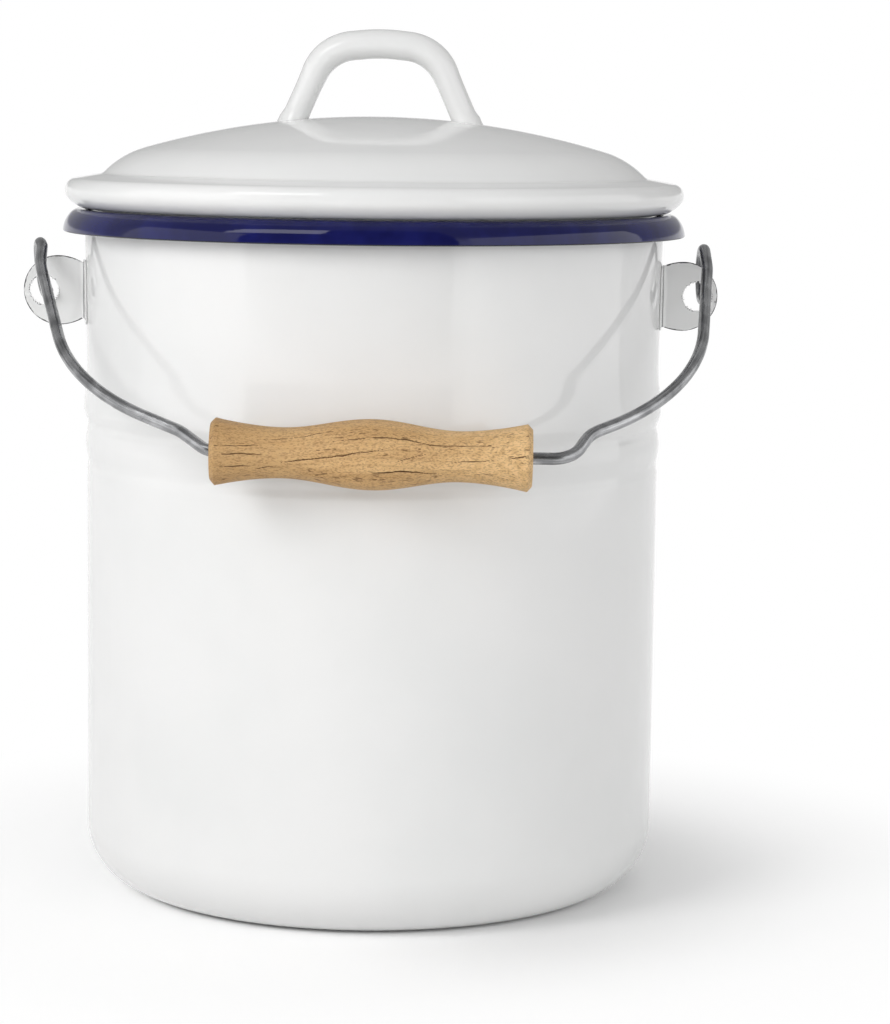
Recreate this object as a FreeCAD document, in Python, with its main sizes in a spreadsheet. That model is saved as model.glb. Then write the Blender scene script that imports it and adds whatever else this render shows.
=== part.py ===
import FreeCAD, Part
import math
import os
import Sketcher

# Enamelled steel compost bucket: a drawn pail with a rolled rim and two ears, a loose domed lid,
# and a wire bail that carries a turned wooden grip.
# Frame: millimetres, +Z up, origin on the axis at the floor, -Y is the front where the bail hangs.

doc = FreeCAD.newDocument("compost_bucket")
sheet = doc.addObject("Spreadsheet::Sheet", "sizes")


# Driving sizes, in millimetres unless the note says degrees or share

SIZES = (
    ("overrun", 2.0, "how far every cutting or hidden stretch runs past its face"),
    # pail
    ("wall_radius", 101.2, "outside of the plain wall"),
    ("steel", 1.0, "sheet steel with enamel on both sides"),
    ("rim_height", 239.4, "floor to the top of the rolled rim"),
    ("corner_radius", 22.0, "outside round between wall and base"),
    ("wall_flare", 0.7, "how much wider the wall is at the rim"),
    ("rim_mouth_roll", 2.8, "outside radius of the rim's roll at the mouth"),
    ("rim_top_roll", 4.3, "outside radius of the rim's roll on top"),
    ("rim_skirt_roll", 9.4, "outside radius of the skirt that hangs from it"),
    ("rim_turn", 45.0, "degrees of slope where the roll meets the skirt"),
    ("swage_drop", 53.3, "rim top to the upper end of the swages"),
    ("upper_swage_fall", 16.5, "long upper slope of the upper swage"),
    ("upper_swage_foot", 4.5, "short lower slope of the upper swage"),
    ("upper_swage_rise", 1.1, "how far the upper swage stands out"),
    ("swage_gap", 1.2, "plain wall between the swages"),
    ("lower_swage_width", 11.5, "height of the lower swage"),
    ("lower_swage_rise", 0.55, "how far the lower swage stands out"),
    # ears
    ("ear_drop", 29.2, "rim top to the middle of an ear"),
    ("ear_reach", 8.75, "wall to the middle of the ear's disc"),
    ("ear_stagger", 0.9, "how much further the left ear reaches, and the right ear less"),
    ("ear_radius", 12.3, "radius of the ear's disc"),
    ("ear_gauge", 1.2, "thickness of an ear"),
    ("ear_foot_height", 22.4, "height of the foot welded to the wall"),
    ("ear_foot_width", 17.0, "width of that foot round the wall"),
    ("ear_bend", 1.6, "inside radius of the bend from foot to disc"),
    ("hole_radius", 5.2, "radius of the hole in an ear"),
    ("hole_shift", 5.0, "how far the hole lies outside the disc's middle"),
    # bail
    ("wire", 4.0, "diameter of the bail's wire"),
    ("eye_radius", 8.9, "middle of the wire in the bail's eyes"),
    ("eye_lift", 4.0, "wire's middle at the bottom of the eye, over the hole's lower edge"),
    ("eye_wrap", 238.0, "degrees of turn in an eye"),
    ("eye_shift", 1.2, "how far the eyes lie outside the middle place of the holes"),
    ("bail_slack", 11.45, "reach of the bail beyond its resting place"),
    ("lead", 24.0, "straight wire where an arm leaves its eye"),
    ("lead_bend", 45.0, "bend radius at the end of that lead"),
    ("shoulder_inset", 12.85, "how far an arm's shoulder lies inside its eye"),
    ("shoulder_shift", 4.3, "hand-bent offset of the shoulders towards +X"),
    ("shoulder_back", 37.7, "grip's line back to the shoulder"),
    ("shoulder_bend", 78.0, "bend radius of the shoulder"),
    ("kink_spacing", 138.0, "one kink to the other"),
    ("kink_shift", 4.1, "hand-bent offset of the kinks towards +X"),
    ("kink_back", 14.4, "grip's line back to the kinks"),
    ("kink_bend", 12.0, "bend radius of a kink"),
    ("run_spacing", 115.0, "one end of the wire's straight run to the other"),
    ("run_bend", 6.0, "bend radius at the ends of that run"),
    ("run_shift", 4.4, "hand-bent offset of the run towards +X"),
    ("run_skew", 2.6, "how much further the run reaches at its +X end"),
    # grip
    ("grip_length", 103.4, "length of the wooden grip"),
    ("grip_radius", 11.6, "radius of the grip's middle swell"),
    ("grip_end_radius", 11.0, "radius of its flared ends"),
    ("grip_waist_radius", 8.3, "radius of its two waists"),
    ("grip_chamfer", 2.4, "chamfer on its ends"),
    ("grip_waist_share", 0.55, "share of the half length from the middle to a waist"),
    ("grip_shift", -0.4, "where the grip sits along its wire"),
    ("bore_play", 0.4, "clearance of the bore round the wire"),
    ("rest_gap", 0.15, "clearance of the resting grip to the lower swage"),
    # lid
    ("lid_gap", 0.3, "clearance of the lid's edge over the rim"),
    ("lid_setback", 0.6, "how far the lid's rolled edge lies inside the rim's"),
    ("lid_rise", 32.7, "lid's seat to the top of its dome"),
    ("dome_radius", 290.0, "radius of the dome"),
    ("dome_edge", 80.5, "where the dome turns into its shoulder"),
    ("dome_shoulder", 33.7, "radius of that shoulder"),
    ("cove_slope", 45.0, "degrees of slope where the shoulder meets the cove"),
    ("cove_radius", 3.0, "hollow radius of the cove"),
    ("brim_slope", 10.0, "degrees of fall of the brim"),
    ("brim_roll", 4.2, "radius of the brim's edge, above and below its widest line"),
    ("edge_turn", 36.0, "degrees from that line to the start of the roll under the brim"),
    ("under_roll", 10.0, "radius of the roll under the brim"),
    ("under_turn", 75.0, "degrees from the widest line to the lid's cut edge"),
    ("collar_gauge", 1.0, "thickness of the lid's collar"),
    ("collar_play", 1.2, "clearance of the collar in the mouth"),
    ("collar_depth", 9.0, "how far the collar drops below the rim"),
    ("collar_lead", 3.0, "height of the collar's drawn-in lower edge"),
    ("collar_draw", 1.0, "how far that edge is drawn in"),
    # lid handle
    ("handle_height", 30.7, "dome's top to the outside of the handle"),
    ("handle_shift", 1.5, "how far the handle is welded off the middle, towards +X"),
    ("handle_spacing", 66.0, "one foot's middle to the other, under the dome"),
    ("handle_top_width", 38.2, "one knee to the other"),
    ("handle_crown", 2.0, "rise of the handle from its knees to its middle"),
    ("handle_knee", 16.0, "bend radius of the knees"),
    ("handle_crown_bend", 60.0, "bend radius of the crown"),
    ("handle_thickness", 9.8, "thickness of the oval tube"),
    ("handle_width", 15.0, "width of the oval tube"),
    ("handle_gauge", 1.2, "wall of the oval tube"),
)


class Size:
    """A size and the expression that ties it to the sheet, so that sums keep both."""

    def __init__(self, value, formula):
        self.value = value
        self.formula = formula

    def _join(self, other, sign, value):
        return Size(value, "(%s %s %s)" % (self.formula, sign, as_size(other).formula))

    def __add__(self, other):
        return self._join(other, "+", self.value + as_size(other).value)

    def __sub__(self, other):
        return self._join(other, "-", self.value - as_size(other).value)

    def __mul__(self, other):
        return self._join(other, "*", self.value * as_size(other).value)

    def __truediv__(self, other):
        return self._join(other, "/", self.value / as_size(other).value)

    def __neg__(self):
        return Size(-self.value, "(0 - %s)" % self.formula)


def as_size(number):
    return number if isinstance(number, Size) else Size(float(number), repr(number))


def root(size):
    return Size(math.sqrt(size.value), "sqrt(%s)" % size.formula)


def sine(degrees):
    return Size(math.sin(math.radians(degrees.value)), "sin(%s * 1 deg)" % degrees.formula)


def cosine(degrees):
    return Size(math.cos(math.radians(degrees.value)), "cos(%s * 1 deg)" % degrees.formula)


def arc_sine(ratio):
    return Size(math.degrees(math.asin(ratio.value)), "(asin(%s) / 1 deg)" % ratio.formula)


def arc_tangent(ratio):
    return Size(math.degrees(math.atan(ratio.value)), "(atan(%s) / 1 deg)" % ratio.formula)


def arc_cosine(ratio):
    return Size(math.degrees(math.acos(ratio.value)), "(acos(%s) / 1 deg)" % ratio.formula)


def sagitta_radius(half_chord, rise):
    return (half_chord * half_chord + rise * rise) / (rise * 2)


for row, (alias, number, note) in enumerate(SIZES, start=1):
    sheet.set("A%d" % row, note)
    sheet.set("B%d" % row, str(number))
    sheet.setAlias("B%d" % row, alias)
doc.recompute()
S = {alias: Size(float(sheet.get(alias)), "sizes." + alias) for alias, number, note in SIZES}
ZERO = Size(0.0, "0")


# Sketch helpers: points are pairs of sizes, and every dimension is bound to the sheet

def bind(sketch, constraint, size):
    index = sketch.addConstraint(constraint)
    name = "size%d" % index
    sketch.renameConstraint(index, name)
    sketch.setExpression("Constraints." + name, size.formula)


def pin(sketch, geometry, end, across, up):
    bind(sketch, Sketcher.Constraint("DistanceX", -1, 1, geometry, end, across.value), across)
    bind(sketch, Sketcher.Constraint("DistanceY", -1, 1, geometry, end, up.value), up)


def new_sketch(body, name, role, lift=None):
    """A sketch on one of the body's origin planes, lifted along that plane's normal."""
    sketch = body.newObject("Sketcher::SketchObject", name)
    plane = [f for f in body.Origin.OriginFeatures if f.Role == role][0]
    sketch.AttachmentSupport = (plane, [""])
    sketch.MapMode = "FlatFace"
    if lift is not None:
        sketch.setExpression("AttachmentOffset.Base.z", lift.formula)
    return sketch


def vector(point):
    return FreeCAD.Vector(point[0].value, point[1].value, 0)


def arc_geometry(start, end, radius):
    """The arc of under a half turn from start to end; a positive radius turns left."""
    chord = end - start
    middle = (start + end) * 0.5
    left = FreeCAD.Vector(-chord.y, chord.x, 0).normalize()
    reach = math.sqrt(max(radius * radius - chord.Length * chord.Length / 4, 0))
    centre = middle + left * (reach if radius > 0 else -reach)
    first, last = (start, end) if radius > 0 else (end, start)
    angles = [math.atan2((p - centre).y, (p - centre).x) for p in (first, last)]
    circle = Part.Circle(centre, FreeCAD.Vector(0, 0, 1), abs(radius))
    return Part.ArcOfCircle(circle, angles[0], angles[1])


def outline(sketch, points):
    """A closed outline of (across, up, turn): turn is the signed radius of the arc to the next point, or None."""
    spans = []
    for index, (across, up, turn) in enumerate(points):
        start = vector((across, up))
        end = vector(points[(index + 1) % len(points)])
        if turn is None:
            geometry = sketch.addGeometry(Part.LineSegment(start, end))
            spans.append((geometry, 1, 2))
        else:
            geometry = sketch.addGeometry(arc_geometry(start, end, turn.value))
            radius = turn if turn.value > 0 else -turn
            bind(sketch, Sketcher.Constraint("Radius", geometry, radius.value), radius)
            spans.append((geometry, 1, 2) if turn.value > 0 else (geometry, 2, 1))
    for index, (geometry, first, last) in enumerate(spans):
        following = spans[(index + 1) % len(spans)]
        sketch.addConstraint(Sketcher.Constraint("Coincident", geometry, last, following[0], following[1]))
        pin(sketch, geometry, first, points[index][0], points[index][1])


def rounded_path(sketch, corners):
    """An open path of straight runs through (across, up, bend), with a tangent arc at each inner corner."""
    places = [vector(corner) for corner in corners]
    ways = [(b - a).normalize() for a, b in zip(places, places[1:])]
    cuts = [ZERO.value]
    for before, after, corner in zip(ways, ways[1:], corners[1:]):
        cuts.append(corner[2].value * math.tan(before.getAngle(after) / 2))
    cuts.append(ZERO.value)
    lines = []
    for index, way in enumerate(ways):
        start = places[index] + way * cuts[index]
        end = places[index + 1] - way * cuts[index + 1]
        lines.append((sketch.addGeometry(Part.LineSegment(start, end)), start, end))
    for index in range(1, len(places) - 1):
        across, up, bend = corners[index]
        before, after = lines[index - 1], lines[index]
        left = ways[index - 1].cross(ways[index]).z > 0
        arc = sketch.addGeometry(arc_geometry(before[2], after[1], bend.value if left else -bend.value))
        near, far = (1, 2) if left else (2, 1)
        mark = sketch.addGeometry(Part.Point(places[index]), True)
        sketch.addConstraint(Sketcher.Constraint("Tangent", before[0], 2, arc, near))
        sketch.addConstraint(Sketcher.Constraint("Tangent", arc, far, after[0], 1))
        sketch.addConstraint(Sketcher.Constraint("PointOnObject", mark, 1, before[0]))
        sketch.addConstraint(Sketcher.Constraint("PointOnObject", mark, 1, after[0]))
        bind(sketch, Sketcher.Constraint("Radius", arc, bend.value), bend)
        pin(sketch, mark, 1, across, up)
    pin(sketch, lines[0][0], 1, corners[0][0], corners[0][1])
    pin(sketch, lines[-1][0], 2, corners[-1][0], corners[-1][1])


def circle(sketch, across, up, radius):
    geometry = sketch.addGeometry(Part.Circle(vector((across, up)), FreeCAD.Vector(0, 0, 1), radius.value))
    bind(sketch, Sketcher.Constraint("Radius", geometry, radius.value), radius)
    pin(sketch, geometry, 3, across, up)


def new_body(label):
    body = doc.addObject("PartDesign::Body", label)
    body.Label = label
    return body


def revolve(body, sketch, axis="V_Axis", degrees=None, backwards=False):
    turn = body.newObject("PartDesign::Revolution", sketch.Name + "_turn")
    turn.Profile = sketch
    turn.ReferenceAxis = (sketch, [axis])
    turn.Angle = 360
    if degrees is not None:
        turn.setExpression("Angle", degrees.formula)
    turn.Reversed = backwards
    return turn


# Lines that several pieces share

mouth_radius = S["wall_radius"] + S["wall_flare"] - S["steel"]
roll_centre = mouth_radius + S["rim_mouth_roll"]
skirt_centre = roll_centre + (S["rim_top_roll"] - S["rim_skirt_roll"]) * cosine(S["rim_turn"])
rim_radius = skirt_centre + S["rim_skirt_roll"]
roll_start = S["rim_height"] - S["rim_mouth_roll"]
swage_top = S["rim_height"] - S["swage_drop"]
ear_height = S["rim_height"] - S["ear_drop"]
disc_place = S["wall_radius"] + S["wall_flare"] + S["ear_reach"]
pivot_height = ear_height - S["hole_radius"] + S["eye_lift"] + S["eye_radius"]
eye_place = disc_place + S["hole_shift"] + S["eye_shift"]
lid_seat = S["rim_height"] + S["lid_gap"]
lid_apex = lid_seat + S["lid_rise"]
lid_radius = rim_radius - S["lid_setback"]


# Pail: one drawn sheet with a rounded base, two swages and a rim rolled out and down

def bucket_shell():
    wall = S["wall_radius"]
    inside = wall - S["steel"]
    flat = wall - S["corner_radius"]
    crest = swage_top - S["upper_swage_fall"]
    valley = crest - S["upper_swage_foot"]
    lower_top = valley - S["swage_gap"]
    lower_end = lower_top - S["lower_swage_width"]
    fall = sagitta_radius(S["upper_swage_fall"], S["upper_swage_rise"])
    foot = sagitta_radius(S["upper_swage_foot"], S["upper_swage_rise"])
    lower = sagitta_radius(S["lower_swage_width"] / 2, S["lower_swage_rise"])
    top_centre = S["rim_height"] - S["rim_top_roll"]
    skirt_end = top_centre + (S["rim_top_roll"] - S["rim_skirt_roll"]) * sine(S["rim_turn"])
    under_mouth = S["rim_mouth_roll"] - S["steel"]
    under_top = S["rim_top_roll"] - S["steel"]
    under_skirt = S["rim_skirt_roll"] - S["steel"]
    across, up = cosine(S["rim_turn"]), sine(S["rim_turn"])
    body = new_body("bucket_shell")
    section = new_sketch(body, "pail_section", "XZ_Plane")
    outline(section, [
        (ZERO, ZERO, None),
        (flat, ZERO, S["corner_radius"]),
        (wall, S["corner_radius"], None),
        (wall, lower_end, lower),
        (wall, lower_top, None),
        (wall, valley, foot),
        (wall + S["upper_swage_rise"], crest, fall),
        (wall, swage_top, None),
        (mouth_radius + S["steel"], roll_start, -under_mouth),
        (roll_centre, S["rim_height"] - S["steel"], -under_top),
        (roll_centre + under_top * across, top_centre + under_top * up, -under_skirt),
        (rim_radius - S["steel"], skirt_end, None),
        (rim_radius, skirt_end, S["rim_skirt_roll"]),
        (roll_centre + S["rim_top_roll"] * across, top_centre + S["rim_top_roll"] * up, S["rim_top_roll"]),
        (roll_centre, S["rim_height"], S["rim_mouth_roll"]),
        (mouth_radius, roll_start, None),
        (inside, swage_top, -fall),
        (inside + S["upper_swage_rise"], crest, -foot),
        (inside, valley, None),
        (inside, lower_top, -lower),
        (inside, lower_end, None),
        (inside, S["corner_radius"], -(S["corner_radius"] - S["steel"])),
        (flat, S["steel"], None),
        (ZERO, S["steel"], None),
    ])
    revolve(body, section)
    return body


# Ears: a foot that follows the flared wall, bent out into a round lug with a hole for the bail's eye

def wall_at(height):
    """Outside radius of the flared wall at a height between the swages and the rim."""
    return S["wall_radius"] + S["wall_flare"] * (height - swage_top) / (roll_start - swage_top)


def ear(label, side):
    top = ear_height + S["ear_foot_height"] / 2
    bottom = ear_height - S["ear_foot_height"] / 2
    disc = disc_place - S["ear_stagger"] * side
    neck = wall_at(top) + S["ear_gauge"] / 2
    neck_half = root(S["ear_radius"] * S["ear_radius"] - (disc - neck) * (disc - neck))
    body = new_body(label)
    foot = new_sketch(body, label + "_foot_section", "XZ_Plane")
    outline(foot, [
        (wall_at(bottom) * side, bottom, None),
        ((wall_at(bottom) + S["ear_gauge"]) * side, bottom, None),
        ((wall_at(top) + S["ear_gauge"]) * side, top, None),
        (wall_at(top) * side, top, None),
    ])
    wrap = S["ear_foot_width"] / S["wall_radius"] * (180 / math.pi)
    revolve(body, foot, degrees=wrap, backwards=side > 0)
    lug = new_sketch(body, label + "_lug_outline", "XZ_Plane")
    outline(lug, [
        (neck * side, ear_height - neck_half, S["ear_radius"] * side),
        ((disc + S["ear_radius"]) * side, ear_height, S["ear_radius"] * side),
        (neck * side, ear_height + neck_half, None),
    ])
    circle(lug, (disc + S["hole_shift"]) * side, ear_height, S["hole_radius"])
    pad = body.newObject("PartDesign::Pad", label + "_lug")
    pad.Profile = lug
    pad.setExpression("Length", S["ear_gauge"].formula)
    pad.Midplane = True
    doc.recompute()
    round_ear_bend(body, pad, label)
    return body


def round_ear_bend(body, pad, label):
    """Round the inner corner where the foot turns out into the lug."""
    corner = []
    for index, edge in enumerate(pad.Shape.Edges, start=1):
        ends = [v.Point for v in edge.Vertexes]
        upright = len(ends) == 2 and abs(ends[0].z - ends[1].z) > S["ear_radius"].value
        front = all(p.y < -S["ear_gauge"].value / 4 and p.y > -S["ear_gauge"].value for p in ends)
        outer = all(abs(p.x) > S["wall_radius"].value + S["ear_gauge"].value / 2 for p in ends)
        if upright and front and outer:
            corner.append("Edge%d" % index)
    bend = body.newObject("PartDesign::Fillet", label + "_bend")
    bend.Base = (pad, corner)
    bend.setExpression("Radius", S["ear_bend"].formula)


# Bail: modelled about its own swing axis with the arms level, then leaned until the grip meets the wall

reach = S["wall_radius"] + S["lower_swage_rise"] + S["grip_radius"] + S["rest_gap"]
bail_reach = reach + S["bail_slack"]
bail_swing = root(bail_reach * bail_reach + S["eye_radius"] * S["eye_radius"])
bail_lean = arc_cosine(reach / bail_swing) + arc_sine(S["eye_radius"] / bail_swing)
grip_height = pivot_height - root(bail_swing * bail_swing - reach * reach)
run_slope = S["run_skew"] / S["run_spacing"]


def lean(body, across, along, up):
    """Place a piece of the bail: leaned about X, with its origin at the given place."""
    body.Placement = FreeCAD.Placement(FreeCAD.Vector(0, 0, 0), FreeCAD.Rotation(FreeCAD.Vector(1, 0, 0), 1))
    body.setExpression("Placement.Base.x", across.formula)
    body.setExpression("Placement.Base.y", along.formula)
    body.setExpression("Placement.Base.z", up.formula)
    body.setExpression("Placement.Rotation.Angle", bail_lean.formula)


def bail_wire():
    grip_line = -bail_reach
    arms = []
    for side in (1, -1):
        shoulder = (eye_place - S["shoulder_inset"]) * side + S["shoulder_shift"]
        kink = S["kink_spacing"] * side / 2 + S["kink_shift"]
        run = S["run_spacing"] * side / 2 + S["run_shift"]
        arms.append([
            (eye_place * side, ZERO, None),
            (eye_place * side, -S["lead"], S["lead_bend"]),
            (shoulder, grip_line + S["shoulder_back"], S["shoulder_bend"]),
            (kink, grip_line + S["kink_back"], S["kink_bend"]),
            (run, grip_line - (run - S["grip_shift"]) * run_slope, S["run_bend"]),
        ])
    body = new_body("bail_wire")
    path = new_sketch(body, "bail_path", "XY_Plane", S["eye_radius"])
    rounded_path(path, arms[0] + arms[1][::-1])
    section = new_sketch(body, "bail_section", "XZ_Plane")
    circle(section, eye_place, S["eye_radius"], S["wire"] / 2)
    pipe = body.newObject("PartDesign::AdditivePipe", "bail_arms")
    pipe.Profile = section
    pipe.Spine = (path, [])
    doc.recompute()
    for name, side in (("right_eye", 1), ("left_eye", -1)):
        eye = new_sketch(body, name, "XZ_Plane")
        circle(eye, eye_place * side, S["eye_radius"], S["wire"] / 2)
        revolve(body, eye, axis="H_Axis", degrees=S["eye_wrap"], backwards=True)
    lean(body, ZERO, ZERO, pivot_height)
    return body


# Grip: turned beech with flared ends, two waists and a middle swell, bored for the wire and skewed with it

def wooden_grip():
    half = S["grip_length"] / 2
    waist = half * S["grip_waist_share"]
    bore = S["wire"] / 2 + S["bore_play"]
    flare = S["grip_end_radius"] - S["grip_waist_radius"]
    swell = S["grip_radius"] - S["grip_waist_radius"]
    end_arc = sagitta_radius(half - S["grip_chamfer"] - waist, flare)
    turn_arc = sagitta_radius(waist / 2, swell / 2)
    middle_radius = S["grip_waist_radius"] + swell / 2
    body = new_body("wooden_grip")
    section = new_sketch(body, "grip_section", "XZ_Plane")
    outline(section, [
        (-half, bore, None),
        (half, bore, None),
        (half, S["grip_end_radius"] - S["grip_chamfer"], None),
        (half - S["grip_chamfer"], S["grip_end_radius"], -end_arc),
        (waist, S["grip_waist_radius"], -turn_arc),
        (waist / 2, middle_radius, turn_arc),
        (ZERO, S["grip_radius"], turn_arc),
        (-waist / 2, middle_radius, -turn_arc),
        (-waist, S["grip_waist_radius"], -end_arc),
        (S["grip_chamfer"] - half, S["grip_end_radius"], None),
        (-half, S["grip_end_radius"] - S["grip_chamfer"], None),
    ])
    tilt = FreeCAD.Rotation(FreeCAD.Vector(0, -1, 0), 1)
    section.AttachmentOffset = FreeCAD.Placement(FreeCAD.Vector(0, 0, 0), tilt)
    section.setExpression("AttachmentOffset.Rotation.Angle", arc_tangent(run_slope).formula)
    revolve(body, section, axis="H_Axis")
    lean(body, S["grip_shift"], -reach, grip_height)
    return body


# Lid: a domed sheet with a cove and a brim rolled under, its locating collar and its loop handle

dome_slope = arc_sine(S["dome_edge"] / S["dome_radius"])
dome_centre = lid_apex - S["dome_radius"]
roll_depth = S["under_roll"] * sine(S["under_turn"]) - (S["under_roll"] - S["brim_roll"]) * sine(S["edge_turn"])


def lid_lines(inset):
    """The lid's section from the top of the dome to the roll, at a depth below its outer face."""
    dome = S["dome_radius"] - inset
    shoulder = S["dome_shoulder"] - inset
    cove = S["cove_radius"] + inset
    brim = S["brim_roll"] - inset
    under = S["under_roll"] - inset
    shoulder_across = sine(dome_slope) * (S["dome_radius"] - S["dome_shoulder"])
    shoulder_up = dome_centre + cosine(dome_slope) * (S["dome_radius"] - S["dome_shoulder"])
    joined = S["dome_shoulder"] + S["cove_radius"]
    cove_across = shoulder_across + sine(S["cove_slope"]) * joined
    cove_up = shoulder_up + cosine(S["cove_slope"]) * joined
    brim_across = lid_radius - S["brim_roll"]
    widest = lid_seat + roll_depth
    under_across = brim_across + cosine(S["edge_turn"]) * (S["brim_roll"] - S["under_roll"])
    under_up = widest - sine(S["edge_turn"]) * (S["brim_roll"] - S["under_roll"])
    return [
        (ZERO, lid_apex - inset, -dome),
        (sine(dome_slope) * dome, dome_centre + cosine(dome_slope) * dome, -shoulder),
        (shoulder_across + sine(S["cove_slope"]) * shoulder, shoulder_up + cosine(S["cove_slope"]) * shoulder, cove),
        (cove_across - sine(S["brim_slope"]) * cove, cove_up - cosine(S["brim_slope"]) * cove, None),
        (brim_across + sine(S["brim_slope"]) * brim, widest + cosine(S["brim_slope"]) * brim, -brim),
        (lid_radius - inset, widest, -brim),
        (brim_across + cosine(S["edge_turn"]) * brim, widest - sine(S["edge_turn"]) * brim, -under),
        (under_across + cosine(S["under_turn"]) * under, under_up - sine(S["under_turn"]) * under, None),
    ]


def lid_shell():
    outer = lid_lines(ZERO)
    inner = lid_lines(S["steel"])
    back = []
    for index in range(len(inner) - 1, 0, -1):
        turn = inner[index - 1][2]
        back.append((inner[index][0], inner[index][1], None if turn is None else -turn))
    back.append((inner[0][0], inner[0][1], None))
    body = new_body("lid_shell")
    section = new_sketch(body, "lid_section", "XZ_Plane")
    outline(section, outer + back)
    revolve(body, section)
    return body


def lid_collar():
    under = lid_lines(S["steel"])
    inner_end, outer_end = under[3], under[4]
    fall = (inner_end[1] - outer_end[1]) / (outer_end[0] - inner_end[0])
    outside = mouth_radius - S["collar_play"]
    inside = outside - S["collar_gauge"]
    bottom = S["rim_height"] - S["collar_depth"]
    body = new_body("lid_collar")
    section = new_sketch(body, "collar_section", "XZ_Plane")
    outline(section, [
        (inside - S["collar_draw"], bottom, None),
        (outside - S["collar_draw"], bottom, None),
        (outside, bottom + S["collar_lead"], None),
        (outside, inner_end[1] - fall * (outside - inner_end[0]), None),
        (inside, inner_end[1] - fall * (inside - inner_end[0]), None),
        (inside, bottom + S["collar_lead"], None),
    ])
    revolve(body, section)
    return body


def oval(name, thickness, width, height):
    """An oval section of the handle's tube, level, at the foot on the +X side."""
    section = doc.addObject("Part::Ellipse", name)
    section.Placement = FreeCAD.Placement(FreeCAD.Vector(0, 0, 0), FreeCAD.Rotation(FreeCAD.Vector(0, 0, 1), 90))
    section.setExpression("MajorRadius", (width / 2).formula)
    section.setExpression("MinorRadius", (thickness / 2).formula)
    section.setExpression("Placement.Base.x", (S["handle_spacing"] / 2 + S["handle_shift"]).formula)
    section.setExpression("Placement.Base.z", height.formula)
    return section


def lid_handle():
    foot = S["handle_spacing"] / 2
    knee = S["handle_top_width"] / 2
    crown = lid_apex + S["handle_height"] - S["handle_thickness"] / 2
    foot_drop = S["dome_radius"] - root(S["dome_radius"] * S["dome_radius"] - foot * foot)
    foot_bend = lid_apex - foot_drop - S["overrun"] * 2
    start = foot_bend - S["handle_width"]
    path = doc.addObject("Sketcher::SketchObject", "handle_path")
    path.Placement = FreeCAD.Placement(FreeCAD.Vector(0, 0, 0), FreeCAD.Rotation(FreeCAD.Vector(1, 0, 0), 90))
    middle = S["handle_shift"]
    rounded_path(path, [
        (middle + foot, start, None),
        (middle + foot, foot_bend, S["handle_knee"]),
        (middle + knee, crown - S["handle_crown"], S["handle_knee"]),
        (middle, crown, S["handle_crown_bend"]),
        (middle - knee, crown - S["handle_crown"], S["handle_knee"]),
        (middle - foot, foot_bend, S["handle_knee"]),
        (middle - foot, start, None),
    ])
    bore = S["handle_gauge"] * 2
    tubes = []
    for name, less in (("handle_outside", ZERO), ("handle_inside", bore)):
        section = oval(name + "_oval", S["handle_thickness"] - less, S["handle_width"] - less, start)
        tube = doc.addObject("Part::Sweep", name)
        tube.Sections = [section]
        tube.Spine = (path, [])
        tube.Solid = True
        tubes.append(tube)
    hollow = doc.addObject("Part::Cut", "handle_tube")
    hollow.Base = tubes[0]
    hollow.Tool = tubes[1]
    dome = doc.addObject("Part::Sphere", "handle_seat")
    dome.setExpression("Radius", S["dome_radius"].formula)
    dome.setExpression("Placement.Base.z", dome_centre.formula)
    handle = doc.addObject("Part::Cut", "lid_handle")
    handle.Base = hollow
    handle.Tool = dome
    handle.Label = "lid_handle"
    return handle


pieces = [
    bucket_shell(),
    ear("left_ear", -1),
    ear("right_ear", 1),
    bail_wire(),
    wooden_grip(),
    lid_shell(),
    lid_collar(),
    lid_handle(),
]
doc.recompute()

for thing in doc.Objects:
    if "Invalid" in thing.State or "Error" in thing.State:
        raise RuntimeError("%s is %s" % (thing.Label, thing.State))
for piece in pieces:
    if piece.Shape.isNull() or not piece.Shape.isValid() or len(piece.Shape.Solids) != 1:
        raise RuntimeError("%s has no sound solid" % piece.Label)

os.makedirs("parts", exist_ok=True)
for piece in pieces:
    piece.Shape.exportStep(os.path.join("parts", piece.Label + ".step"))
print("swing axis height", round(pivot_height.value, 2), "grip height", round(grip_height.value, 2))
print("run slope", round(run_slope.value, 5), "rim radius", round(rim_radius.value, 2))
print("grip reach", round(reach.value, 2), "lean", round(bail_lean.value, 2), "eye place", round(eye_place.value, 2))
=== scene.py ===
import math
import random

import bmesh
import bpy
from mathutils import Matrix, Vector, noise
from mathutils.geometry import delaunay_2d_cdt


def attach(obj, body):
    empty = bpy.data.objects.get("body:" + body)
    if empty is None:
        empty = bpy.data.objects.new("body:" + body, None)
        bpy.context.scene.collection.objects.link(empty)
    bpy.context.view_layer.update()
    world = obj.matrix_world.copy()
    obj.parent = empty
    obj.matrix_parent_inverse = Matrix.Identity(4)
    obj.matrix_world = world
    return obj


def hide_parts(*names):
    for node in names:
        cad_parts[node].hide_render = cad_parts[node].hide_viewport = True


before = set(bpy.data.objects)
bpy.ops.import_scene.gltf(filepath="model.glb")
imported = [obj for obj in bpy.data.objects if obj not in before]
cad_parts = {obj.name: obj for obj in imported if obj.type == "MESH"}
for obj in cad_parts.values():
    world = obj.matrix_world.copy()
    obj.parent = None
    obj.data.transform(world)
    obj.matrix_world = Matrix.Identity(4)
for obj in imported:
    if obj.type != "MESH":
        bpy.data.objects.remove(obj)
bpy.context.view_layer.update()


# Pail: one sheet of steel, deep drawn with a rounded base, swaged twice to stiffen the wall and rolled
# outwards at the mouth. It is dipped in white vitreous enamel and fired, and the rolled rim gets a
# second coat of cobalt blue, brushed on by hand.

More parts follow.
